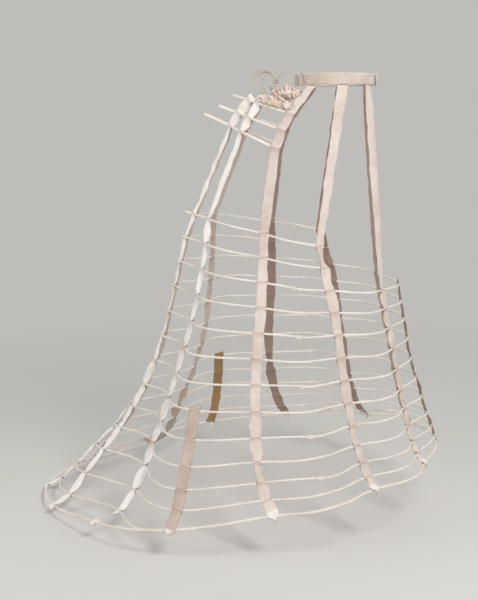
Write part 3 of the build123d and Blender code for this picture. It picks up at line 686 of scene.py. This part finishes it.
def gathered_panel(level_name, side, hand):
    """A strip of cloth on its drawstring: sharp uneven puckers, a full middle and frilled edges."""
    plan, middle, drop = PANEL_ENDS[level_name]
    ends = [Vector((side * out, y, middle - drop * (y - PANEL_MIDDLE_Y))) / 1000 for y, out in plan]
    line = smooth_line(ends, False, PANEL_STEP_MM / 1000)
    vertices, faces = [], []
    for i, here in enumerate(line):
        along = (line[min(i + 1, len(line) - 1)] - line[max(i - 1, 0)]).normalized()
        out = along.cross(UP).normalized()
        out = out if out.dot(here - WEARER) > 0 else -out
        mm = i * PANEL_STEP_MM
        gather = DRAWN_ENDS + FULL_MIDDLE * math.sin(math.pi * i / (len(line) - 1))**0.7
        for c in range(PANEL_COLUMNS + 1):
            v = c / PANEL_COLUMNS * 2 - 1
            wide = noise.noise(Vector((mm / WIDE_FOLD_MM, v * 0.8, side * 3 + middle)))
            fine = noise.noise(Vector((mm / FINE_FOLD_MM, v * 1.5, side * 5 + middle)))
            wide, fine = 1 - FOLD_SHARPNESS * abs(wide), 1 - FOLD_SHARPNESS * abs(fine)
            folds = (wide + FINE_FOLD_SHARE * fine) * (0.45 + 0.55 * abs(v - 0.15))
            ragged = gather * (1 + RAGGED * noise.noise(Vector((i * 0.055, v * 0.8, side + 11))))
            stands_out = FRILL * abs(v)**2 * noise.noise(Vector((i * 0.05, v * 2, 21))) + BELLY * (1 - v * v)
            stands_out += LUMP * noise.noise(Vector((i * 0.04, v * 1.1, 31)))
            rise = RISE * noise.noise(Vector((i * 0.04, v * 0.4, 41)))
            vertices.append(here + UP * (v * PANEL_HALF * ragged * (1 - 0.05 * folds) + rise)
                            + out * (FOLD_DEPTH * folds + stands_out)
                            + along * SHIFT * noise.noise(Vector((mm / 5, v * 1.4, 51))))
    for i in range(len(line) - 1):
        for c in range(PANEL_COLUMNS):
            a = i * (PANEL_COLUMNS + 1) + c
            faces.append((a, a + 1, a + PANEL_COLUMNS + 2, a + PANEL_COLUMNS + 1))
    piece = mesh_object(f"gathered_cloth_{level_name}_{hand}", vertices, faces, panel_cotton)
    thick = piece.modifiers.new("cloth", "SOLIDIFY")
    thick.thickness = PANEL_CLOTH
    thick.offset = 0
    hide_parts(f"gathered_panel_{level_name}_{hand}")
    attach(piece, "root")


for level_name in PANEL_ENDS:
    for hand, side in (("right", -1), ("left", 1)):
        gathered_panel(level_name, side, hand)


# The laces are one round cotton braid, cut in lengths. They draw the gathered panels together
# at the back, and what is left over stands in stiff old loops above its knots.
LACE_DIAMETER = 0.003
LACE_ROUTES = {
    "loop_large": ((-52, 168, -38), (-50, 181, -26), (-48, 193, -7), (-44, 192, 12), (-40, 175, 22),
                   (-37, 153, 20), (-36, 139, 8), (-35, 137, -11)),
    "loop_middle": ((-48, 164, -38), (-44, 174, -24), (-40, 183, -6), (-37, 182, 10), (-34, 168, 18),
                    (-33, 153, 14), (-32, 145, 3), (-32, 144, -11)),
    "loop_inner": ((-44, 159, -38), (-45, 166, -24), (-46, 171, -9), (-47, 168, 5), (-46, 158, 13),
                   (-45, 147, 9), (-44, 141, -1), (-43, 140, -11)),
    "loop_small": ((-40, 135, -11), (-45, 134, 3), (-49, 127, 14), (-56, 116, 13), (-63, 110, 2),
                   (-71, 112, -10), (-75, 115, -18)),
    "loop_least": ((-79, 105, -18), (-74, 106, -3), (-70, 99, 11), (-72, 84, 11), (-79, 78, -4),
                   (-83, 82, -18)),
    "across_lower": ((-35, 163, -48), (-14, 168, -50), (14, 171, -51), (39, 171, -52), (60, 171, -53)),
    "across_upper": ((-26, 142, -22), (-8, 146, -25), (12, 149, -28), (32, 149, -30), (49, 148, -31)),
}

# A braid of some sixteen threads, greyer than the tapes from handling, matt with a soft bloom.
lace_cotton = cotton("braided_lace_cotton", "CEC1B3", "AD9E8E", "887767", 1.1, 0.80, 0.25, 0.0004)


def cord_line(name, route_mm, diameter):
    """A cord as a smooth line through the pull of its route's points."""
    curve = bpy.data.curves.new(name, "CURVE")
    curve.dimensions = "3D"
    spline = curve.splines.new("NURBS")
    spline.points.add(len(route_mm) - 1)
    for point, place in zip(spline.points, route_mm):
        point.co = (*(v / 1000 for v in place), 1)
    spline.order_u = 3
    spline.use_endpoint_u = True
    spline.resolution_u = 12
    curve.bevel_depth = diameter / 2
    curve.bevel_resolution = 4
    curve.use_fill_caps = True
    obj = bpy.data.objects.new(name, curve)
    bpy.context.scene.collection.objects.link(obj)
    return obj


def line_length(obj):
    """Length of a cord's own line, read from it without its thickness."""
    bare = obj.copy()
    bare.data = obj.data.copy()
    bare.data.bevel_depth = 0
    bpy.context.scene.collection.objects.link(bare)
    bpy.context.view_layer.update()
    mesh = bpy.data.meshes.new_from_object(bare.evaluated_get(bpy.context.evaluated_depsgraph_get()))
    places = [v.co for v in mesh.vertices]
    length = sum((places[e.vertices[0]] - places[e.vertices[1]]).length for e in mesh.edges)
    bpy.data.objects.remove(bare)
    return length


for name, route in LACE_ROUTES.items():
    lace = cord_line("braided_lace_" + name, route, LACE_DIAMETER)
    lace.data.materials.append(lace_cotton)
    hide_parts("lace_" + name)
    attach(lace, "root")
    line_length(lace)


# Two knots tie the lace ends off: the same round braid wound over itself and pulled tight, so
# that its turns cross at different slopes.
KNOTS = {"lower": ((-48, 163, -48), (24, 26, 18)), "upper": ((-38, 142, -21), (22, 24, 18))}
KNOT_TURNS = ((8, "X"), (64, "Y"), (-52, "Z"), (22, "X"), (100, "Y"))
TURN_STEPS, STRAND_CORNERS = 40, 8
STRAND_RADIUS, STRAND_INSET = 0.0018, 0.0019
TURN_WOBBLE, TURN_WAVE = 0.06, 0.28
OUTER_TURN, TURN_NESTS = 0.96, 0.07


def strand(i, here, along):
    """The braid's round section on a knot's turn."""
    side = along.cross(UP if abs(along.z) < 0.8 else Vector((1, 0, 0))).normalized()
    lift = side.cross(along)
    angles = (2 * math.pi * m / STRAND_CORNERS for m in range(STRAND_CORNERS))
    return [here + (side * math.cos(b) + lift * math.sin(b)) * STRAND_RADIUS for b in angles]


for name, (centre, size) in KNOTS.items():
    vertices, faces = [], []
    half = Vector(size) / 2000 - Vector((1, 1, 1)) * STRAND_INSET
    for turn, (degrees, axis) in enumerate(KNOT_TURNS):
        tilt = Matrix.Rotation(math.radians(degrees), 3, axis)
        ring = []
        for k in range(TURN_STEPS):
            a = 2 * math.pi * k / TURN_STEPS
            wobble = 1 + TURN_WOBBLE * math.sin(3 * a + turn)
            p = tilt @ Vector((math.cos(a), math.sin(a), TURN_WAVE * math.sin(2 * a + turn)))
            p = p.normalized() * wobble * (OUTER_TURN - TURN_NESTS * (turn % 3))
            ring.append(p * half + Vector(centre) / 1000)
        turn_vertices, turn_faces = tube(ring, True, strand)
        faces += [tuple(len(vertices) + k for k in face) for face in turn_faces]
        vertices += turn_vertices
    piece = mesh_object("tied_knot_" + name, vertices, faces, lace_cotton)
    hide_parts("lace_knot_" + name)
    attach(piece, "root")


# Each closed hoop is butted in a thin crimped iron sleeve, painted cream to match the covers
# so that it hardly shows; the paint is half matt, and worn brown and duller in patches.
WEAR_MM, CRIMP_MM = 4, 2
cream_paint = bpy.data.materials.new("cream_painted_iron")
cream_paint.use_nodes = True
tree = cream_paint.node_tree
shader = tree.nodes["Principled BSDF"]
place = add(tree, "ShaderNodeTexCoord").outputs["Object"]
wear = add(tree, "ShaderNodeTexNoise", Vector=place, Scale=1000 / WEAR_MM, Detail=5, Roughness=0.7)
worn = add(tree, "ShaderNodeValToRGB", stops=((0.50, linear("EDE5DB")), (0.75, linear("C9B8A5"))),
           Fac=wear.outputs["Fac"])
dull = add(tree, "ShaderNodeValToRGB", stops=((0.40, grey(0.45)), (0.70, grey(0.75))),
           Fac=wear.outputs["Fac"])
# The crimp's ridges, like the weave, are drawn about twice as coarse as they are, so that they show.
crimp = add(tree, "ShaderNodeTexWave", Vector=place, Scale=1000 / CRIMP_MM / 6.28, Distortion=0.5)
dent = add(tree, "ShaderNodeBump", Strength=0.3, Distance=0.0002, Height=crimp.outputs["Fac"])
tree.links.new(worn.outputs["Color"], shader.inputs["Base Color"])
tree.links.new(dull.outputs["Color"], shader.inputs["Roughness"])
tree.links.new(dent.outputs["Normal"], shader.inputs["Normal"])
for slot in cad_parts["hoop_clasps"].material_slots:
    slot.material = cream_paint


# Where the train hoop's ends lie against the hem hoop, cotton thread is wound round both, close
# and a little uneven.
THREAD_RADIUS, THREAD_INSET, THREAD_CORNERS = 0.00062, 0.0007, 6
WOUND_TURNS, STEPS_PER_TURN = 13, 20
BINDING_CURVE = 0.6
HEM_NEAR_BINDING = 0.02
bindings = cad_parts["train_hoop_bindings"].data
hem = steels["hoop_14"]
for hand, side in (("right", -1), ("left", 1)):
    corners = [v.co for v in bindings.vertices if v.co.x * side > 0]
    middle = sum(corners, Vector()) / len(corners)
    runs = zip(hem["centres"], hem["centres"][1:])
    near = [b - a for a, b in runs if ((a + b) / 2 - middle).length < HEM_NEAR_BINDING]
    along = near[0].normalized() if near else Vector((1, 0, 0))
    up = (hem["up"] - along * along.dot(hem["up"])).normalized()
    across = along.cross(up).normalized()
    half_up, half_across, half_along = (max(abs((c - middle).dot(way)) for c in corners) - THREAD_INSET
                                        for way in (up, across, along))
    helix = []
    for k in range(WOUND_TURNS * STEPS_PER_TURN + 1):
        a = 2 * math.pi * k / STEPS_PER_TURN
        c, s = math.cos(a), math.sin(a)
        loose = 1 + 0.05 * noise.noise(Vector((k * 0.1, side, 0)))
        helix.append(middle + along * half_along * (2 * k / (WOUND_TURNS * STEPS_PER_TURN) - 1)
                     + across * math.copysign(abs(c)**BINDING_CURVE, c) * half_across * loose
                     + up * math.copysign(abs(s)**BINDING_CURVE, s) * half_up * loose)

    def thread(i, here, run):
        side_way = run.cross(along).normalized()
        lift = side_way.cross(run).normalized()
        angles = (2 * math.pi * m / THREAD_CORNERS for m in range(THREAD_CORNERS))
        return [here + (side_way * math.cos(b) + lift * math.sin(b)) * THREAD_RADIUS for b in angles]

    piece = mesh_object("wound_binding_" + hand, *tube(helix, False, thread), stitch_thread)
    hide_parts("train_hoop_bindings")
    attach(piece, "root")


# The studio: a pale matt floor that fades into an even backdrop of the same grey, a key lamp
# from the front and above, a softer one from the train's side and a weak one behind.
BACKDROP = "BEBDBA"
FLOOR_GAP, FLOOR_HALF = 0.002, 14
FADE_METRES = 4.0
LAMPS = {"key": ((-2.2, -1.3, 1.9), 1.1, 84), "fill": ((-1.6, 2.5, 0.7), 1.8, 30),
         "back": ((2.2, -0.6, 1.4), 2.0, 14)}
LAMPS_AIM = Vector((0, 0.1, -0.5))

floor_material = bpy.data.materials.new("painted_studio_floor")
floor_material.use_nodes = True
tree = floor_material.node_tree
paint = tree.nodes["Principled BSDF"]
paint.inputs["Base Color"].default_value = linear("D2D0CC")
paint.inputs["Roughness"].default_value = 0.9
place = add(tree, "ShaderNodeTexCoord").outputs["Object"]
from_middle = add(tree, "ShaderNodeVectorMath", {"operation": "LENGTH"}, i0=place).outputs["Value"]
share = add(tree, "ShaderNodeMath", {"operation": "DIVIDE"}, i0=from_middle, i1=FADE_METRES).outputs[0]
away = add(tree, "ShaderNodeValToRGB", stops=((0.22, grey(0)), (0.62, grey(1))), Fac=share).outputs["Color"]
haze = add(tree, "ShaderNodeEmission", Color=linear(BACKDROP), Strength=1.0).outputs[0]
faded = add(tree, "ShaderNodeMixShader", i0=away, i1=paint.outputs[0], i2=haze)
ray = add(tree, "ShaderNodeLightPath").outputs["Is Camera Ray"]
shown = add(tree, "ShaderNodeMixShader", i0=ray, i1=paint.outputs[0], i2=faded.outputs[0])
tree.links.new(shown.outputs[0], tree.nodes["Material Output"].inputs["Surface"])
floor_mesh = bpy.data.meshes.new("studio_floor")
floor_corners = [(x * FLOOR_HALF, y * FLOOR_HALF, 0) for x, y in ((-1, -1), (1, -1), (1, 1), (-1, 1))]
floor_mesh.from_pydata(floor_corners, [], [(0, 1, 2, 3)])
floor_mesh.materials.append(floor_material)
floor = bpy.data.objects.new("studio_floor", floor_mesh)
floor.location.z = cad_box[0].z - FLOOR_GAP
bpy.context.scene.collection.objects.link(floor)

world = bpy.data.worlds.new("studio")
bpy.context.scene.world = world
world.use_nodes = True
tree = world.node_tree
sky = tree.nodes["Background"]
sky.inputs["Color"].default_value = linear("F4F3F1")
sky.inputs["Strength"].default_value = 0.42
seen = add(tree, "ShaderNodeBackground", Color=linear(BACKDROP), Strength=1.0).outputs[0]
ray = add(tree, "ShaderNodeLightPath").outputs["Is Camera Ray"]
both = add(tree, "ShaderNodeMixShader", i0=ray, i1=sky.outputs[0], i2=seen)
tree.links.new(both.outputs[0], tree.nodes["World Output"].inputs["Surface"])
for name, (place, size, power) in LAMPS.items():
    lamp = bpy.data.lights.new(name, "AREA")
    lamp.size, lamp.energy = size, power
    holder = bpy.data.objects.new(name, lamp)
    bpy.context.scene.collection.objects.link(holder)
    holder.location = place
    holder.rotation_mode = "QUATERNION"
    holder.rotation_quaternion = (LAMPS_AIM - Vector(place)).to_track_quat("-Z", "Y")
bpy.context.scene.view_settings.view_transform = "Standard"
